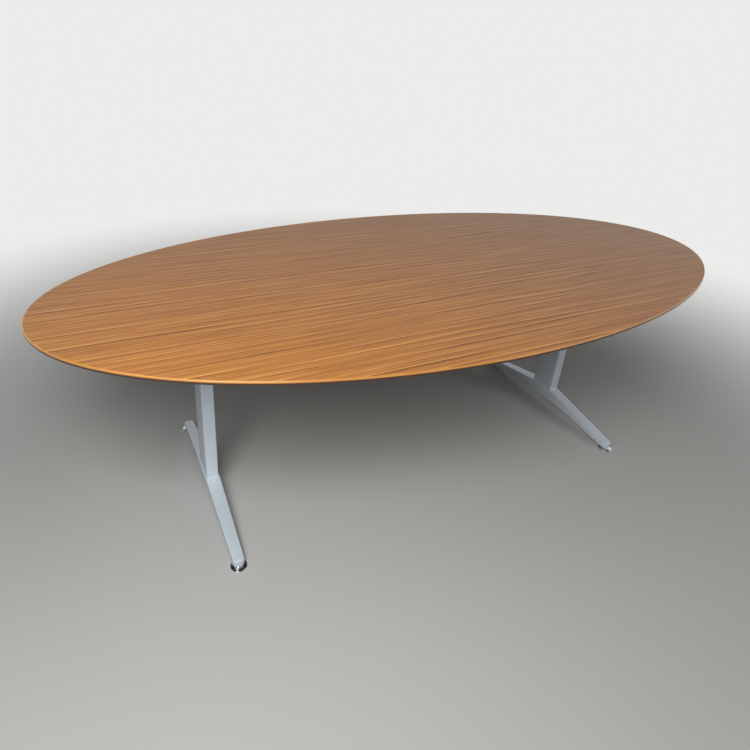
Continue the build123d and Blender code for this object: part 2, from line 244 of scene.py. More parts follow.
def around(count=ROUND_COLUMNS):
    """Even angles round a full turn."""
    return np.linspace(0, 2 * math.pi, count, endpoint=False)


def skin(name, *grids, ring=False, open_end=False, crease=SOFT_CREASE):
    """Shells over grids of points. Each row of a grid is a closed line, and quads join it to the next row.
    With ring the last row joins the first one. Without it the first row is filled, and so is the last one
    unless the end is open."""
    points = []
    faces = []
    offset = 0
    for grid in grids:
        grid = np.asarray(grid, dtype=float)
        index = offset + np.arange(grid.shape[0] * grid.shape[1]).reshape(grid.shape[:2])
        lower = index if ring else index[:-1]
        upper = np.roll(index, -1, axis=0) if ring else index[1:]
        quads = np.stack([lower, np.roll(lower, -1, 1), np.roll(upper, -1, 1), upper], axis=-1)
        faces += quads.reshape(-1, 4).tolist()
        if not ring:
            faces += [index[0].tolist()] if open_end else [index[0].tolist(), index[-1].tolist()]
        points.append(grid.reshape(-1, 3))
        offset += index.size
    mesh = bpy.data.meshes.new(name)
    mesh.from_pydata(np.concatenate(points).tolist(), [], faces)
    shell = bmesh.new()
    shell.from_mesh(mesh)
    bmesh.ops.remove_doubles(shell, verts=shell.verts, dist=MERGE_DISTANCE)
    bmesh.ops.recalc_face_normals(shell, faces=shell.faces)
    shell.to_mesh(mesh)
    shell.free()
    mesh.shade_smooth()
    mesh.set_sharp_from_angle(angle=math.radians(crease))
    piece = bpy.data.objects.new(name, mesh)
    bpy.context.scene.collection.objects.link(piece)
    return piece


def turned(profile, place=(0, 0), count=ROUND_COLUMNS):
    """Surface of revolution: each radius and height of the profile becomes a circle about an upright axis."""
    return spun(*round_rows(profile, count), place)


def spun(radius, height, place=(0, 0)):
    """Surface whose radius is given for each height and angle, about an upright axis."""
    turn = around(radius.shape[1])
    x = place[0] + radius * np.cos(turn)
    y = place[1] + radius * np.sin(turn)
    return np.stack([x, y, np.broadcast_to(np.asarray(height)[:, None], x.shape)], axis=-1)


def quarter(steps):
    """Sines and cosines of even angles over a quarter turn."""
    turn = np.linspace(0, math.pi / 2, steps)
    return np.sin(turn), np.cos(turn)


def hexagon_radius(flats):
    """Distance from the middle of a hexagon to its side at each angle: half the flats over the cosine of the
    angle from the middle of the nearest flat."""
    return flats / 2 / np.cos(around() % (math.pi / 3) - math.pi / 6)


def hexagon_rows(flats, low, high, ease_high=True):
    """Radius rows and heights of a hexagon whose corners are eased by a cone at its lower end, and at its
    upper end if asked: at each height the radius is the smaller of the hexagon's and the cone's."""
    slope = math.tan(CONE_ANGLE)
    start = flats / 2 - CONE_INSET * flats
    steps = np.linspace(0, (flats / math.sqrt(3) - start) * slope, CONE_ROWS)
    height = np.concatenate([low + steps, high - steps[::-1]])
    cone = start + (height - low) / slope
    if ease_high:
        cone = np.minimum(cone, start + (high - height) / slope)
    return np.minimum(hexagon_radius(flats)[None, :], cone[:, None]), height


def thread_rows(diameter, depth, pitch, low, high):
    """Radius rows and heights of a screw thread: a triangle wave that climbs one pitch in a turn."""
    height = np.linspace(low, high, int((high - low) / pitch * THREAD_ROWS_PER_TURN))
    phase = (height[:, None] / pitch - around()[None, :] / (2 * math.pi)) % 1
    return diameter / 2 - depth * np.abs(2 * phase - 1), height


def round_rows(profile, count=ROUND_COLUMNS):
    """Radius rows and heights of plain circles."""
    radius, height = np.asarray(profile, dtype=float).T
    return np.broadcast_to(radius[:, None], (len(radius), count)), height


def stacked(place, *parts):
    """One spun surface from several runs of radius rows and heights."""
    radius = np.concatenate([part[0] for part in parts])
    height = np.concatenate([part[1] for part in parts])
    return spun(radius, height, place)


def add_node(material, kind, inputs=(), **settings):
    """Add a shader node with its settings. Its inputs in use, by name or in order, get values or links from
    outputs. A node given as the value stands for its first output in use."""
    node = material.node_tree.nodes.new("ShaderNode" + kind)
    for name, value in settings.items():
        setattr(node, name, value)
    in_use = [socket for socket in node.inputs if socket.enabled]
    if isinstance(inputs, dict):
        in_use = [next(socket for socket in in_use if socket.name == name) for name in inputs]
        inputs = inputs.values()
    for socket, value in zip(in_use, inputs):
        if isinstance(value, bpy.types.Node):
            value = next(output for output in value.outputs if output.enabled)
        if isinstance(value, bpy.types.NodeSocket):
            material.node_tree.links.new(value, socket)
        else:
            socket.default_value = value
    return node


def blank_material(name):
    """New empty node material and the coordinates of the object that wears it, in metres."""
    material = bpy.data.materials.new(name)
    material.use_nodes = True
    material.node_tree.nodes.clear()
    return material, add_node(material, "TexCoord").outputs["Object"]


def surfaced(material, base, grain, rough, inputs):
    """End a material in a shader with a base colour, a roughness that the grain moves between two values, and
    other inputs by name."""
    roughness = add_node(material, "MapRange", {"Value": grain, "To Min": rough[0], "To Max": rough[1]})
    shader = add_node(material, "BsdfPrincipled", {"Base Color": base, "Roughness": roughness, **inputs})
    add_node(material, "OutputMaterial", [shader])
    return material


def lacquered_cherry(finishes):
    """Sliced cherry veneer, stained and sprayed with satin lacquer. Straight grain runs along the table:
    growth lines, each a thin pale line beside a thin dark one, some bold and some faint, with finer streaks
    and pores between them, all under a soft even sheen."""
    material, coords = blank_material("cherry_veneer_satin_lacquer")
    # the lines sway by half a spacing over 1.6 m of length and crowd or spread over 60 mm of width
    long_grain = add_node(material, "Mapping", {"Vector": coords, "Scale": (1 / 1.6, 1 / 0.06, 1.0)})
    drift = add_node(material, "TexNoise", {
        "Vector": long_grain, "Scale": 1.0, "Detail": 2.0, "Roughness": 0.55,
    })
    across = add_node(material, "SeparateXYZ", [coords]).outputs["Y"]
    spaced = add_node(material, "Math", (across, -1 / 0.026), operation="MULTIPLY")
    rings = add_node(material, "Math", (drift, 1.8, spaced), operation="MULTIPLY_ADD")
    growth = add_node(material, "Math", [rings], operation="FRACT")
    vigour_grain = add_node(material, "Mapping", {"Vector": coords, "Scale": (1 / 0.35, 1 / 0.030, 1.0)})
    vigour = add_node(material, "TexNoise", {"Vector": vigour_grain, "Scale": 1.0, "Detail": 1.0})
    bold = add_node(material, "MapRange", {"Value": vigour, "From Min": 0.35, "From Max": 0.65})
    streak_grain = add_node(material, "Mapping", {"Vector": coords, "Scale": (1 / 0.3, 1 / 0.005, 1.0)})
    streak = add_node(material, "TexNoise", {
        "Vector": streak_grain, "Scale": 1.0, "Detail": 3.0, "Roughness": 0.6,
    })
    # the real fibres are under half a millimetre apart, drawn at 1.6 mm so that they show
    fibre_grain = add_node(material, "Mapping", {"Vector": coords, "Scale": (1 / 0.12, 1 / 0.0016, 1.0)})
    fibre = add_node(material, "TexNoise", {
        "Vector": fibre_grain, "Scale": 1.0, "Detail": 2.0, "Roughness": 0.6,
    })
    even = add_node(material, "Math", (growth, 2.0, -1.0), operation="MULTIPLY_ADD")
    thin = add_node(material, "Math", (even, 3.0), operation="POWER")
    drawn = add_node(material, "Math", (thin, bold), operation="MULTIPLY")
    lines = add_node(material, "Math", (drawn, 0.55, streak), operation="MULTIPLY_ADD")
    tone = add_node(material, "MapRange", {"Value": lines, "From Min": 0.16, "From Max": 0.84})
    lower = add_node(material, "MapRange", {"Value": tone, "From Min": 0.0, "From Max": 0.5})
    upper = add_node(material, "MapRange", {"Value": tone, "From Min": 0.5, "From Max": 1.0})
    dark = add_node(material, "Mix", (lower, finishes.cherry_dark, finishes.cherry_middle), data_type="RGBA")
    wood = add_node(material, "Mix", (upper, dark, finishes.cherry_light), data_type="RGBA")
    pores = add_node(material, "MapRange", {
        "Value": fibre, "From Min": 0.58, "From Max": 0.75, "To Max": 0.5,
    })
    base = add_node(material, "Mix", (pores, wood, finishes.cherry_pore), data_type="RGBA")
    sheen = add_node(material, "MapRange", {"Value": fibre, "From Min": 0.3, "From Max": 0.7})
    relief = add_node(material, "Bump", {"Height": fibre, "Strength": 0.10, "Distance": 0.0004})
    return surfaced(material, base, sheen, (0.36, 0.46), {
        "IOR": 1.5, "Specular IOR Level": 0.4, "Normal": relief,
        "Coat Weight": 0.1, "Coat Roughness": 0.25, "Coat IOR": 1.5,
    })


def rounded_cherry_band(finishes):
    """Solid cherry lipping, moulded to a round and lacquered. Long grain follows the rim, warmer than the
    veneer. The lower half is darkened with painted shade in the core's dark fibre colour."""
    material, coords = blank_material("cherry_lipping_lacquered")
    rim_grain = add_node(material, "Mapping", {"Vector": coords, "Scale": (1 / 0.22, 1 / 0.22, 1 / 0.004)})
    streak = add_node(material, "TexNoise", {
        "Vector": rim_grain, "Scale": 1.0, "Detail": 3.0, "Roughness": 0.6,
    })
    tone = add_node(material, "MapRange", {"Value": streak, "From Min": 0.32, "From Max": 0.68})
    base = add_node(material, "Mix", (tone, finishes.band_dark, finishes.band_light), data_type="RGBA")
    # painted shade: towards the lower arris the band is mixed into the core's dark fibre colour
    level = add_node(material, "SeparateXYZ", [coords]).outputs["Z"]
    rim_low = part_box("edge_band")[0].z
    shade = add_node(material, "MapRange", {
        "Value": level, "From Min": rim_low + finishes.painted_shade_end, "From Max": rim_low + finishes.painted_shade_full,
    }, interpolation_type="SMOOTHSTEP")
    stained = add_node(material, "Mix", (shade, base, finishes.core_fibre), data_type="RGBA")
    return surfaced(material, stained, streak, (0.28, 0.38), {
        "IOR": 1.5, "Coat Weight": 0.2, "Coat Roughness": 0.2, "Coat IOR": 1.5,
    })


def stained_fibreboard(finishes):
    """Medium density fibreboard, cut to a bevel and stained brown. Felted fibres give a dull mottled face."""
    material, coords = blank_material("fibreboard_cut_and_stained")
    # fibres are finer than a millimetre, drawn at 4 mm so that they show
    felt = add_node(material, "TexNoise", {
        "Vector": coords, "Scale": 1 / 0.004, "Detail": 4.0, "Roughness": 0.7,
    })
    cloud = add_node(material, "TexNoise", {"Vector": coords, "Scale": 1 / 0.12})
    mottle = add_node(material, "Math", (felt, cloud), operation="MULTIPLY")
    tone = add_node(material, "MapRange", {"Value": mottle, "From Min": 0.14, "From Max": 0.40})
    base = add_node(material, "Mix", (tone, finishes.core_fibre, finishes.core_stain), data_type="RGBA")
    relief = add_node(material, "Bump", {"Height": felt, "Strength": 0.2, "Distance": 0.0005})
    return surfaced(material, base, felt, (0.55, 0.80), {"IOR": 1.5, "Normal": relief})


def balancing_paper(finishes):
    """Resin-soaked kraft paper pressed on the board's back. Flat brown with long soft fibre clouds."""
    material, coords = blank_material("kraft_paper_pressed_with_resin")
    pulled = add_node(material, "Mapping", {"Vector": coords, "Scale": (1 / 0.06, 1 / 0.02, 1 / 0.02)})
    cloud = add_node(material, "TexNoise", {"Vector": pulled, "Scale": 1.0, "Detail": 4.0, "Roughness": 0.65})
    tone = add_node(material, "MapRange", {"Value": cloud, "From Min": 0.3, "From Max": 0.7})
    base = add_node(material, "Mix", (tone, finishes.core_stain, finishes.backing), data_type="RGBA")
    return surfaced(material, base, cloud, (0.5, 0.7), {"IOR": 1.5})


def silver_coat(finishes, name, grit, relief_depth):
    """Silver powder coat baked on metal. Fine aluminium flakes lie in a pale grey-blue ground, and the baked
    film has a soft orange-peel, coarser where it lies on a casting."""
    material, coords = blank_material(name)
    # flakes are a tenth of a millimetre, drawn at the grit size so that they show
    flake = add_node(material, "TexNoise", {
        "Vector": coords, "Scale": 1 / grit, "Detail": 2.0, "Roughness": 0.7,
    })
    peel = add_node(material, "TexNoise", {"Vector": coords, "Scale": 1 / 0.006})
    wash = add_node(material, "TexNoise", {"Vector": coords, "Scale": 1 / 0.25})
    mixed = add_node(material, "Math", (flake, wash), operation="ADD")
    tone = add_node(material, "MapRange", {"Value": mixed, "From Min": 0.7, "From Max": 1.3})
    base = add_node(material, "Mix", (tone, finishes.silver_dark, finishes.silver_light), data_type="RGBA")
    relief = add_node(material, "Bump", {"Height": peel, "Strength": 0.12, "Distance": relief_depth})
    return surfaced(material, base, flake, (0.36, 0.52), {"Metallic": 0.25, "Normal": relief})


def silver_steel(finishes):
    """Silver powder coat on smooth steel tube and sheet."""
    return silver_coat(finishes, "steel_silver_powder_coat", grit=0.0014, relief_depth=0.0004)


def silver_casting(finishes):
    """Silver powder coat on sand-cast aluminium."""
    return silver_coat(finishes, "cast_aluminium_silver_powder_coat", grit=0.0018, relief_depth=0.0008)


def zinc_plate(finishes):
    """Bright zinc plated steel. A pale metal with cloudy dull and bright patches from handling."""
    material, coords = blank_material("steel_zinc_plated")
    cloud = add_node(material, "TexNoise", {
        "Vector": coords, "Scale": 1 / 0.004, "Detail": 3.0, "Roughness": 0.6,
    })
    base = add_node(material, "Mix", (cloud, finishes.zinc_dark, finishes.zinc_light), data_type="RGBA")
    return surfaced(material, base, cloud, (0.28, 0.48), {"Metallic": 1.0})


def polished_chrome(finishes):
    """Steel, polished and chrome plated. Sharp reflections, with faint dull handling marks."""
    material, coords = blank_material("steel_polished_chrome_plated")
    marks = add_node(material, "TexNoise", {
        "Vector": coords, "Scale": 1 / 0.007, "Detail": 3.0, "Roughness": 0.6,
    })
    base = add_node(material, "Mix", (marks, finishes.chrome_dark, finishes.chrome_light), data_type="RGBA")
    wear = add_node(material, "MapRange", {"Value": marks, "From Min": 0.35, "From Max": 0.75})
    return surfaced(material, base, wear, (0.06, 0.18), {"Metallic": 1.0})


def moulded_nylon(finishes):
    """Black nylon, injection moulded with a spark-eroded texture and scuffed by the floor."""
    material, coords = blank_material("nylon_moulded_black")
    # the eroded pits are a tenth of a millimetre, drawn at 0.8 mm so that they show
    grain = add_node(material, "TexNoise", {"Vector": coords, "Scale": 1 / 0.0008})
    dragged = add_node(material, "Mapping", {"Vector": coords, "Scale": (1 / 0.010, 1 / 0.003, 1 / 0.003)})
    scuff = add_node(material, "TexNoise", {"Vector": dragged, "Scale": 1.0, "Detail": 3.0, "Roughness": 0.6})
    base = add_node(material, "Mix", (scuff, finishes.nylon_dark, finishes.nylon_light), data_type="RGBA")
    relief = add_node(material, "Bump", {"Height": grain, "Strength": 0.2, "Distance": 0.0002})
    return surfaced(material, base, scuff, (0.42, 0.65), {"IOR": 1.53, "Normal": relief})


def matt_paper(studio):
    """Seamless matt paper. Grey and even, it takes the table's soft shadow, and away from the table it looks
    pale and lit from behind, to the eye and in reflections."""
    material, coords = blank_material("paper_backdrop_matt")
    tooth = add_node(material, "TexNoise", {"Vector": coords, "Scale": 1 / 0.02, "Detail": 3.0})
    rough = add_node(material, "MapRange", {"Value": tooth, "To Min": 0.85, "To Max": 0.95})
    paper = add_node(material, "BsdfPrincipled", {
        "Base Color": studio.backdrop, "Roughness": rough, "IOR": 1.3,
    })
    glow = add_node(material, "Emission", {"Color": studio.glow})
    distance = add_node(material, "VectorMath", [coords], operation="LENGTH").outputs["Value"]
    far = add_node(material, "MapRange", {
        "Value": distance, "From Min": studio.glow_start, "From Max": studio.glow_full,
    }, interpolation_type="SMOOTHSTEP")
    path = add_node(material, "LightPath").outputs
    direct = add_node(material, "Math", (path["Is Camera Ray"], path["Is Glossy Ray"]), operation="MAXIMUM")
    seen = add_node(material, "Math", (direct, path["Is Transmission Ray"]), operation="MAXIMUM")
    shown = add_node(material, "Math", (far, seen), operation="MULTIPLY")
    surface = add_node(material, "MixShader", (shown, paper, glow))
    add_node(material, "OutputMaterial", [surface])
    return material


def finish(slot):
    """Material for one of the finish slots, made the first time it is asked for."""
    makers = {
        "cherry_veneer": lacquered_cherry,
        "cherry_edge": rounded_cherry_band,
        "stained_core": stained_fibreboard,
        "backing_sheet": balancing_paper,
        "silver_paint": silver_steel,
        "silver_casting": silver_casting,
        "plain_steel": zinc_plate,
        "zinc_steel": zinc_plate,
        "chrome": polished_chrome,
        "nylon_pad": moulded_nylon,
    }
    if slot not in FINISHED:
        FINISHED[slot] = makers[slot](bpy.context.scene.table_finishes)
    return FINISHED[slot]


def dress(piece, slot, body, *nodes):
    """Give a new piece its finish and the body it rides on, and hide the nodes that it stands for."""
    piece.data.materials.append(finish(slot))
    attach(piece, body)
    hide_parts(*nodes)


def paint_nodes(slot, *nodes):
    """Give nodes that keep their own shape their finish."""
    for node in nodes:
        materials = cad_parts[node].data.materials
        materials.clear()
        materials.append(finish(slot))


def node_span(node):
    """Lowest and highest corner of a node as arrays."""
    low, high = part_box(node)
    return np.array(low), np.array(high)


class OBJECT_OT_table_top(bpy.types.Operator):
    """Make the oval top: veneer, rounded band, bevelled core and balancing sheet"""
    bl_idname = "object.table_top"
    bl_label = "Oval top"

    def execute(self, context):
        sizes = context.scene.table_top
        rim_low, top = self.levels("edge_band")
        core_low, core_top = self.levels("top_core")
        band = sizes.band_thickness
        ease = sizes.joint_ease
        veneer = [(band, core_top), (band, top - ease), (band + ease, top)]
        dress(skin("veneer_sheet", self.oval(veneer)), "cherry_veneer", "table", "top_veneer")
        rounding = sizes.band_round
        sine, cosine = quarter(7)
        upper = np.stack([rounding - rounding * sine, top - rounding + rounding * cosine], axis=1)
        lower = np.stack([rounding - rounding * cosine, rim_low + rounding - rounding * sine], axis=1)
        inner = [(band, rim_low), (band, top - ease), (band - ease, top)]
        section = np.concatenate([inner, upper, lower])
        lipping = skin("rim_band", self.oval(section), ring=True)
        dress(lipping, "cherry_edge", "table", "edge_band")
        flat = band + sizes.bevel_width
        board = [(band, core_top), (band, rim_low), (flat, core_low)]
        dress(skin("bevelled_core", self.oval(board)), "stained_core", "table", "top_core")
        paint_nodes("backing_sheet", "top_backing")
        return {"FINISHED"}

    def levels(self, node):
        """Lowest and highest level of a node."""
        low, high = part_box(node)
        return low.z, high.z

    def oval(self, section):
        """Carry a section of insets and heights round the oval: each point follows an ellipse whose half axes
        are the top's, less the inset."""
        high = node_span("edge_band")[1]
        inset, height = np.asarray(section, dtype=float).T
        turn = around(bpy.context.scene.table_top.segments)
        x = (high[0] - inset)[:, None] * np.cos(turn)
        y = (high[1] - inset)[:, None] * np.sin(turn)
        return np.stack([x, y, np.broadcast_to(height[:, None], x.shape)], axis=-1)


class OBJECT_OT_table_columns(bpy.types.Operator):
    """Make the two rectangular column tubes"""
    bl_idname = "object.table_columns"
    bl_label = "Columns"

    def execute(self, context):
        corner = context.scene.table_legs.column_corner
        for side in SIDES:
            low, high = node_span(f"column_{side}")
            tube = skin(f"column_tube_{side}", self.upright(low, high, corner))
            dress(tube, "silver_paint", "table", f"column_{side}")
        return {"FINISHED"}

    def upright(self, low, high, corner):
        """Carry a rounded rectangle up: four quarter circles with middles a corner radius inside the box."""
        turn = np.add.outer(np.arange(4), np.linspace(0, 1, CORNER_POINTS)).ravel() * math.pi / 2
        hand = np.repeat([[1, 1], [-1, 1], [-1, -1], [1, -1]], CORNER_POINTS, axis=0)
        middle = (low + high)[:2] / 2
        half = (high - low)[:2] / 2
        plan = middle + hand * (half - corner) + corner * np.stack([np.cos(turn), np.sin(turn)], axis=1)
        levels = np.linspace(low[2], high[2], COLUMN_ROWS)
        return np.stack([np.column_stack([plan, np.full(len(plan), level)]) for level in levels])


class OBJECT_OT_table_feet(bpy.types.Operator):
    """Make the two arched cast feet with their ribbed undersides"""
    bl_idname = "object.table_feet"
    bl_label = "Feet"

    def execute(self, context):
        for side in SIDES:
            casting = skin(f"foot_casting_{side}", self.casting(context.scene.table_legs, side))
            dress(casting, "silver_casting", "table", f"foot_{side}")
        return {"FINISHED"}

    def casting(self, sizes, side):
        """Carry a hollow section along the foot. At each distance from the middle the section has a half
        width that narrows in a straight line, a top that falls in a straight line from the seat, an underside
        on a circular arc, and an inner roof that is high in the bays, low at ribs and flush at the tips."""
        low, high = node_span(f"foot_{side}")
        middle = (low[0] + high[0]) / 2
        reach = high[1]
        seat_half = node_span(f"column_{side}")[1][1] + sizes.foot_border
        hollow_end = reach - sizes.cavity_end
        places = seat_half + np.arange(sizes.ribs + 1) * (hollow_end - seat_half) / (sizes.ribs + 1)
        rib_edges = np.stack([places - sizes.rib / 2, places + sizes.rib / 2], axis=1).ravel()
        edges = np.concatenate([[0.0], rib_edges, [hollow_end]])
        hollow = np.linspace(edges[:-1], edges[1:], BAY_ROWS, axis=1)
        zone = np.repeat(np.arange(len(edges) - 1), hollow.shape[1])
        sine = quarter(TIP_CORNER_ROWS)[0]
        straight_tip = np.linspace(hollow_end, reach - sizes.tip_corner, TIP_ROWS)
        solid = np.concatenate([straight_tip, reach - sizes.tip_corner * (1 - sine)])
        along = np.concatenate([hollow.ravel(), solid])
        zone = np.concatenate([zone, np.full(len(solid), -1)])
        beyond = np.clip(along - seat_half, 0, None) / (reach - seat_half)
        straight = (high[0] - low[0]) / 2 - beyond * ((high[0] - low[0]) / 2 - sizes.tip_width / 2)
        half = straight - self.rounding(along, reach, sizes.tip_corner)
        crest = high[2] - beyond * (high[2] - sizes.tip_top)
        top = crest - self.rounding(along, reach, sizes.arris)
        flat_start = reach - sizes.tip_flat
        rise = sizes.arch_height - low[2]
        radius = (flat_start ** 2 + rise ** 2) / (2 * rise)
        arch = sizes.arch_height - radius + np.sqrt(radius ** 2 - np.minimum(along, flat_start) ** 2)
        roof = crest - sizes.roof
        roof = np.where(zone == 0, high[2] - sizes.seat, roof)
        roof = np.where(zone % 2 == 1, arch + sizes.rib_lift, roof)
        roof = np.where(zone == -1, arch, roof)
        inner = np.minimum(straight - sizes.wall, half - 2 * sizes.lip)
        section = self.section(half, top, arch, inner, roof, sizes.arris, sizes.lip)
        section = np.concatenate([section[::-1], section])
        distance = np.concatenate([-along[::-1], along])
        x = middle + section[..., 0]
        return np.stack([x, np.broadcast_to(distance[:, None], x.shape), section[..., 1]], axis=-1)

    def rounding(self, along, end, radius):
        """How far a quarter circle that ends at a distance draws a straight side in."""
        over = np.clip(along - (end - radius), 0, radius)
        return radius - np.sqrt(radius ** 2 - over ** 2)

    def section(self, half, top, arch, inner, roof, arris, lip):
        """Section at each distance: lower edge, outer side, rounded top, other side and the hollow."""
        sine, cosine = quarter(6)
        column = (slice(None), None)
        side_x = np.concatenate([
            inner[column], half[column] - lip * (1 - sine), half[column] - arris * (1 - cosine),
        ], axis=1)
        side_z = np.concatenate([
            arch[column], arch[column] + lip * (1 - cosine), top[column] - arris * (1 - sine),
        ], axis=1)
        x = np.concatenate([side_x, -side_x[:, ::-1], -inner[column], inner[column]], axis=1)
        z = np.concatenate([side_z, side_z[:, ::-1], roof[column], roof[column]], axis=1)
        return np.stack([x, z], axis=-1)


class OBJECT_OT_table_glides(bpy.types.Operator):
    """Make the four levelling glides: base, floor pad, threaded stem and bush"""
    bl_idname = "object.table_glides"
    bl_label = "Levelling glides"

    def execute(self, context):
        sizes = context.scene.table_glides
        for corner in CORNERS:
            low, high = node_span(f"glide_base_{corner}")
            place = ((low + high) / 2)[:2]
            self.base(sizes, corner, place, low, high)
            self.pad(sizes, corner, place)
            self.stem(sizes, corner, place)
            self.bush(sizes, corner, place)
        return {"FINISHED"}

    def base(self, sizes, corner, place, low, high):
        """Revolve the base's half section: rim, eased shoulder, cone and hub."""
        pad_low, pad_high = node_span(f"glide_pad_{corner}")
        outer = (high[0] - low[0]) / 2
        recess = (pad_high[0] - pad_low[0]) / 2 + sizes.pad_gap
        hub = sizes.hub / 2
        shoulder = low[2] + sizes.rim
        sine, cosine = quarter(5)
        ease = sizes.rim_round
        edge_low = np.stack([outer - ease + ease * sine, low[2] + ease - ease * cosine], axis=1)
        edge_high = np.stack([outer - ease + ease * cosine, shoulder - ease + ease * sine], axis=1)
        neck = high[2] - sizes.crown
        bend = sizes.hub_round
        cone = [(hub + 3 * bend, neck - 0.75 * bend), (hub + bend, neck + 0.25 * bend), (hub, neck + bend)]
        bore = sizes.swivel / 2 + sizes.swivel_gap
        crown = [(hub, high[2] - sizes.crown_ease), (hub - sizes.crown_ease, high[2]), (bore, high[2])]
        socket = [(bore, node_span(f"glide_stem_{corner}")[0][2] - sizes.swivel_drop)]
        profile = np.concatenate([
            [(recess, pad_high[2]), (recess, low[2])], edge_low, edge_high, cone, crown, socket,
        ])
        shell = skin(f"glide_disc_{corner}", turned(profile, place, FINE_COLUMNS), crease=FINE_CREASE)
        dress(shell, "chrome", f"glide_{corner}", f"glide_base_{corner}")

    def pad(self, sizes, corner, place):
        """Revolve the floor pad: a disc with an eased lower edge."""
        low, high = node_span(f"glide_pad_{corner}")
        outer = (high[0] - low[0]) / 2
        profile = [(outer - sizes.pad_ease, low[2]), (outer, low[2] + sizes.pad_ease), (outer, high[2])]
        sole = skin(f"glide_sole_{corner}", turned(profile, place, FINE_COLUMNS))
        dress(sole, "nylon_pad", f"glide_{corner}", f"glide_pad_{corner}")

    def stem(self, sizes, corner, place):
        """Stack the swivel, the eased hexagon and the thread on one axis."""
        low, high = node_span(f"glide_stem_{corner}")
        base_top = node_span(f"glide_base_{corner}")[1][2]
        bush_low = node_span(f"glide_bush_{corner}")[0][2]
        gap = sizes.hexagon_gap
        swivel = round_rows([(sizes.swivel / 2, low[2]), (sizes.swivel / 2, base_top + gap)])
        hexagon = hexagon_rows(sizes.flats, base_top + gap, bush_low - gap)
        thread = thread_rows(sizes.stem, sizes.thread_depth, sizes.pitch, bush_low - gap, high[2])
        spindle = skin(f"glide_spindle_{corner}", stacked(place, swivel, hexagon, thread), crease=FINE_CREASE)
        dress(spindle, "chrome", f"stem_{corner}", f"glide_stem_{corner}")

    def bush(self, sizes, corner, place):
        """Revolve the ring of the bush, whose flange stands a little proud of the foot."""
        low, high = node_span(f"glide_bush_{corner}")
        outer = (high[0] - low[0]) / 2
        body = outer - sizes.bush_ledge
        bore = sizes.bush_bore / 2
        flange_low = low[2] - sizes.bush_proud
        flange_top = low[2] + sizes.bush_flange
        section = [
            (bore, flange_low), (outer, flange_low), (outer, flange_top), (body, flange_top),
            (body, high[2]), (bore, high[2]),
        ]
        ring = skin(f"glide_nut_{corner}", turned(section, place), ring=True)
        dress(ring, "zinc_steel", "table", f"glide_bush_{corner}")


class OBJECT_OT_table_fasteners(bpy.types.Operator):
    """Make the bolts under the feet, the screws into the board and the rail bolts"""
    bl_idname = "object.table_fasteners"
    bl_label = "Bolts and screws"

    def execute(self, context):
        sizes = context.scene.table_fasteners
        for side, hand in SIDES.items():
            self.foot_bolts(sizes, side)
            self.rail_bolts(sizes, side, hand)
            low, high = node_span(f"arm_screws_{side}")
            middle = (low[0] + high[0]) / 2
            last = high[1] - (high[0] - low[0]) / 2
            steps = np.linspace(sizes.arm_screw_first, last, sizes.arm_screws)
            places = [(middle, end * step) for end in ENDS.values() for step in steps]
            self.board_screws(sizes, f"arm_screws_{side}", f"arm_screw_set_{side}", places)
        for end in ENDS:
            low, high = node_span(f"rail_screws_{end}")
            across = (low[1] + high[1]) / 2
            places = [(hand * sizes.rail_screw_offset, across) for hand in SIDES.values()]
            self.board_screws(sizes, f"rail_screws_{end}", f"rail_screw_set_{end}", places)
        return {"FINISHED"}

    def bolt(self, flats, head, diameter, low, high):
        """Radius rows and heights of an eased hexagon and of the plain shank above it."""
        shank = round_rows([(diameter / 2, low + head), (diameter / 2, high)])
        return hexagon_rows(flats, low, low + head, ease_high=False), shank

    def foot_bolts(self, sizes, side):
        """Stack head and shank on each bolt's axis."""
        low, high = node_span(f"foot_bolts_{side}")
        middle = (low[0] + high[0]) / 2
        bolt = self.bolt(sizes.foot_bolt_flats, sizes.foot_bolt_head, sizes.foot_bolt, low[2], high[2])
        places = [(middle, end * sizes.foot_bolt_spacing / 2) for end in ENDS.values()]
        grids = [stacked(place, *bolt) for place in places]
        bolts = skin(f"foot_bolt_set_{side}", *grids, crease=FINE_CREASE)
        dress(bolts, "zinc_steel", "table", f"foot_bolts_{side}")

    def board_screws(self, sizes, node, name, places):
        """Stack a hexagon socket, a domed head and a shank on each screw's axis, from below up."""
        low, high = node_span(node)
        outer = sizes.screw_head_width / 2
        head_top = low[2] + sizes.screw_head
        socket = np.stack([hexagon_radius(sizes.screw_socket)] * 2)
        socket_levels = np.array([low[2] + sizes.screw_socket_depth, low[2]])
        sine, cosine = quarter(7)
        dome_radius = outer - sizes.screw_dome * (1 - sine)
        dome_height = low[2] + sizes.screw_dome_height * (1 - cosine)
        dome = round_rows(np.stack([dome_radius, dome_height], axis=1))
        rest = round_rows([(outer, head_top), (sizes.screw / 2, head_top), (sizes.screw / 2, high[2])])
        grids = [stacked(place, (socket, socket_levels), dome, rest) for place in places]
        screws = skin(name, *grids, crease=FINE_CREASE)
        dress(screws, "zinc_steel", "table", node)

    def rail_bolts(self, sizes, side, hand):
        """Stack head and shank on an axis that lies along the table."""
        low, high = node_span(f"rail_bolts_{side}")
        start, stop = (low[0], high[0]) if hand > 0 else (-high[0], -low[0])
        level = (low[2] + high[2]) / 2
        bolt = self.bolt(sizes.rail_bolt_flats, sizes.rail_bolt_head, sizes.rail_bolt, start, stop)
        x, y, along = np.moveaxis(stacked((0, 0), *bolt), -1, 0)
        grids = []
        for end in ENDS:
            rail_low, rail_high = node_span(f"rail_{end}")
            for step in ENDS.values():
                across = (rail_low[1] + rail_high[1]) / 2 + step * sizes.rail_bolt_spacing / 2
                grids.append(np.stack([hand * along, across + x, level + y], axis=-1))
        bolts = skin(f"rail_bolt_set_{side}", *grids, crease=FINE_CREASE)
        dress(bolts, "zinc_steel", "table", f"rail_bolts_{side}")


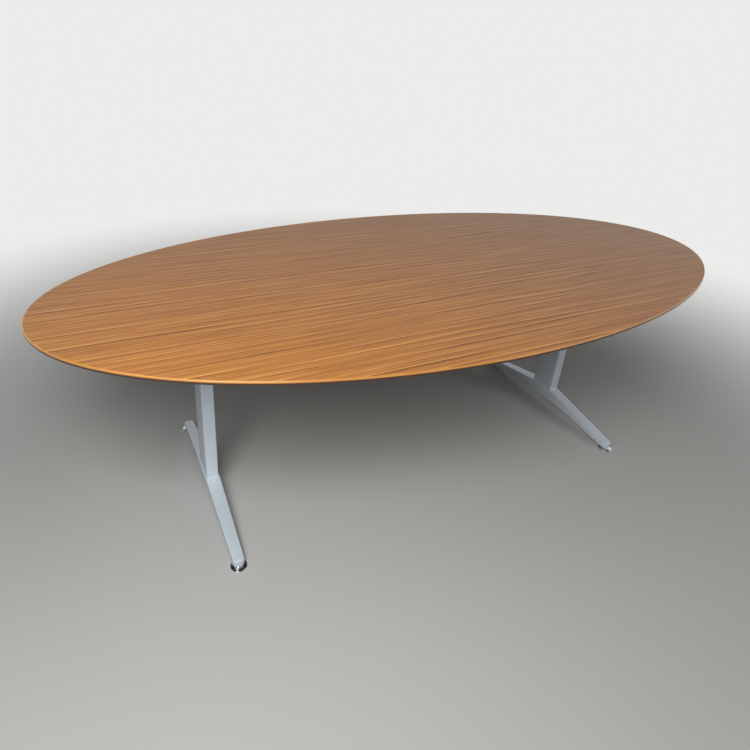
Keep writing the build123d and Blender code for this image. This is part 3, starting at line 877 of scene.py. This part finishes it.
class OBJECT_OT_table_underframe(bpy.types.Operator):
    """Finish the pieces under the board that keep their own shape"""
    bl_idname = "object.table_underframe"
    bl_label = "Underframe"

    def execute(self, context):
        paint_nodes("zinc_steel", "board_inserts")
        for side in SIDES:
            paint_nodes("silver_paint", f"head_arm_{side}")
            paint_nodes("plain_steel", f"base_plug_{side}", f"top_plug_{side}")
            paint_nodes("zinc_steel", f"head_screws_{side}", f"foot_washers_{side}", f"rail_nuts_{side}")
        for end in ENDS:
            paint_nodes("silver_paint", f"rail_{end}", f"rail_plates_{end}")
        return {"FINISHED"}


class OBJECT_OT_table_studio(bpy.types.Operator):
    """Set the grey floor and pale backdrop, the soft light and the camera"""
    bl_idname = "object.table_studio"
    bl_label = "Studio"

    def execute(self, context):
        studio = context.scene.table_studio
        self.backdrop(studio)
        for name, (place, target, size) in SOFTBOXES.items():
            self.softbox(name, getattr(studio, f"{name}_power"), place, target, size)
        world = bpy.data.worlds.new("even_sky")
        world.use_nodes = True
        sky = world.node_tree.nodes["Background"]
        sky.inputs["Color"].default_value = studio.sky_colour
        sky.inputs["Strength"].default_value = studio.sky
        context.scene.world = world
        context.scene.view_settings.view_transform = "Standard"
        self.camera(context, studio)
        return {"FINISHED"}

    def backdrop(self, studio):
        """Revolve a floor that sweeps up into a wall: a flat run, a quarter circle and an upright."""
        sine, cosine = quarter(17)
        sweep = studio.backdrop_sweep
        curve = np.stack([studio.backdrop_radius - sweep + sweep * sine, sweep - sweep * cosine], axis=1)
        flat = [(radius, 0.0) for radius in studio.floor_rings]
        wall_top = (studio.backdrop_radius, studio.backdrop_height)
        grid = turned(np.concatenate([flat, curve, [wall_top]]), count=FINE_COLUMNS)
        floor = skin("pale_backdrop", grid, open_end=True)
        floor.data.materials.append(matt_paper(studio))

    def softbox(self, name, energy, place, target, size):
        """Rectangular area light aimed at a point."""
        lamp = bpy.data.lights.new(f"{name}_softbox", "AREA")
        lamp.energy = energy
        lamp.shape = "RECTANGLE"
        lamp.size, lamp.size_y = size
        light = bpy.data.objects.new(lamp.name, lamp)
        light.location = place
        light.rotation_euler = (Vector(target) - Vector(place)).to_track_quat("-Z", "Y").to_euler()
        bpy.context.scene.collection.objects.link(light)

    def camera(self, context, studio):
        """Camera at its place, turned right of the Y axis, tilted down and rolled."""
        lens = bpy.data.cameras.new("photo_camera")
        lens.lens = studio.lens
        lens.shift_x, lens.shift_y = studio.shift
        lens.clip_end = 100.0
        view = bpy.data.objects.new("photo_camera", lens)
        turn = Matrix.Rotation(-studio.camera_turn, 4, "Z")
        tilt = Matrix.Rotation(math.pi / 2 - studio.camera_tilt, 4, "X")
        roll = Matrix.Rotation(studio.camera_roll, 4, "Z")
        view.matrix_world = Matrix.Translation(studio.camera_place) @ turn @ tilt @ roll
        context.scene.collection.objects.link(view)
        context.scene.camera = view


OPERATORS = (
    OBJECT_OT_table_studio,
    OBJECT_OT_table_top,
    OBJECT_OT_table_columns,
    OBJECT_OT_table_feet,
    OBJECT_OT_table_glides,
    OBJECT_OT_table_fasteners,
    OBJECT_OT_table_underframe,
)
SETTINGS = {
    "table_top": TopSizes,
    "table_legs": LegSizes,
    "table_glides": GlideSizes,
    "table_fasteners": FastenerSizes,
    "table_finishes": Finishes,
    "table_studio": Studio,
}


class VIEW3D_PT_table(bpy.types.Panel):
    """Sidebar panel with the table's sizes, colours and makers"""
    bl_label = "Oval conference table"
    bl_idname = "VIEW3D_PT_table"
    bl_space_type = "VIEW_3D"
    bl_region_type = "UI"
    bl_category = "Table"

    def draw(self, context):
        layout = self.layout
        for operator in OPERATORS:
            layout.operator(operator.bl_idname)
        for name in SETTINGS:
            box = layout.box()
            group = getattr(context.scene, name)
            for setting in group.bl_rna.properties:
                if setting.identifier not in ("rna_type", "name"):
                    box.prop(group, setting.identifier)


def register():
    for group in SETTINGS.values():
        bpy.utils.register_class(group)
    for name, group in SETTINGS.items():
        setattr(bpy.types.Scene, name, PointerProperty(type=group))
    for operator in (*OPERATORS, VIEW3D_PT_table):
        bpy.utils.register_class(operator)


def unregister():
    for operator in (VIEW3D_PT_table, *reversed(OPERATORS)):
        bpy.utils.unregister_class(operator)
    for name in SETTINGS:
        delattr(bpy.types.Scene, name)
    for group in SETTINGS.values():
        bpy.utils.unregister_class(group)


def main():
    register()
    for operator in OPERATORS:
        family, name = operator.bl_idname.split(".")
        getattr(getattr(bpy.ops, family), name)()


if __name__ == "__main__":
    main()
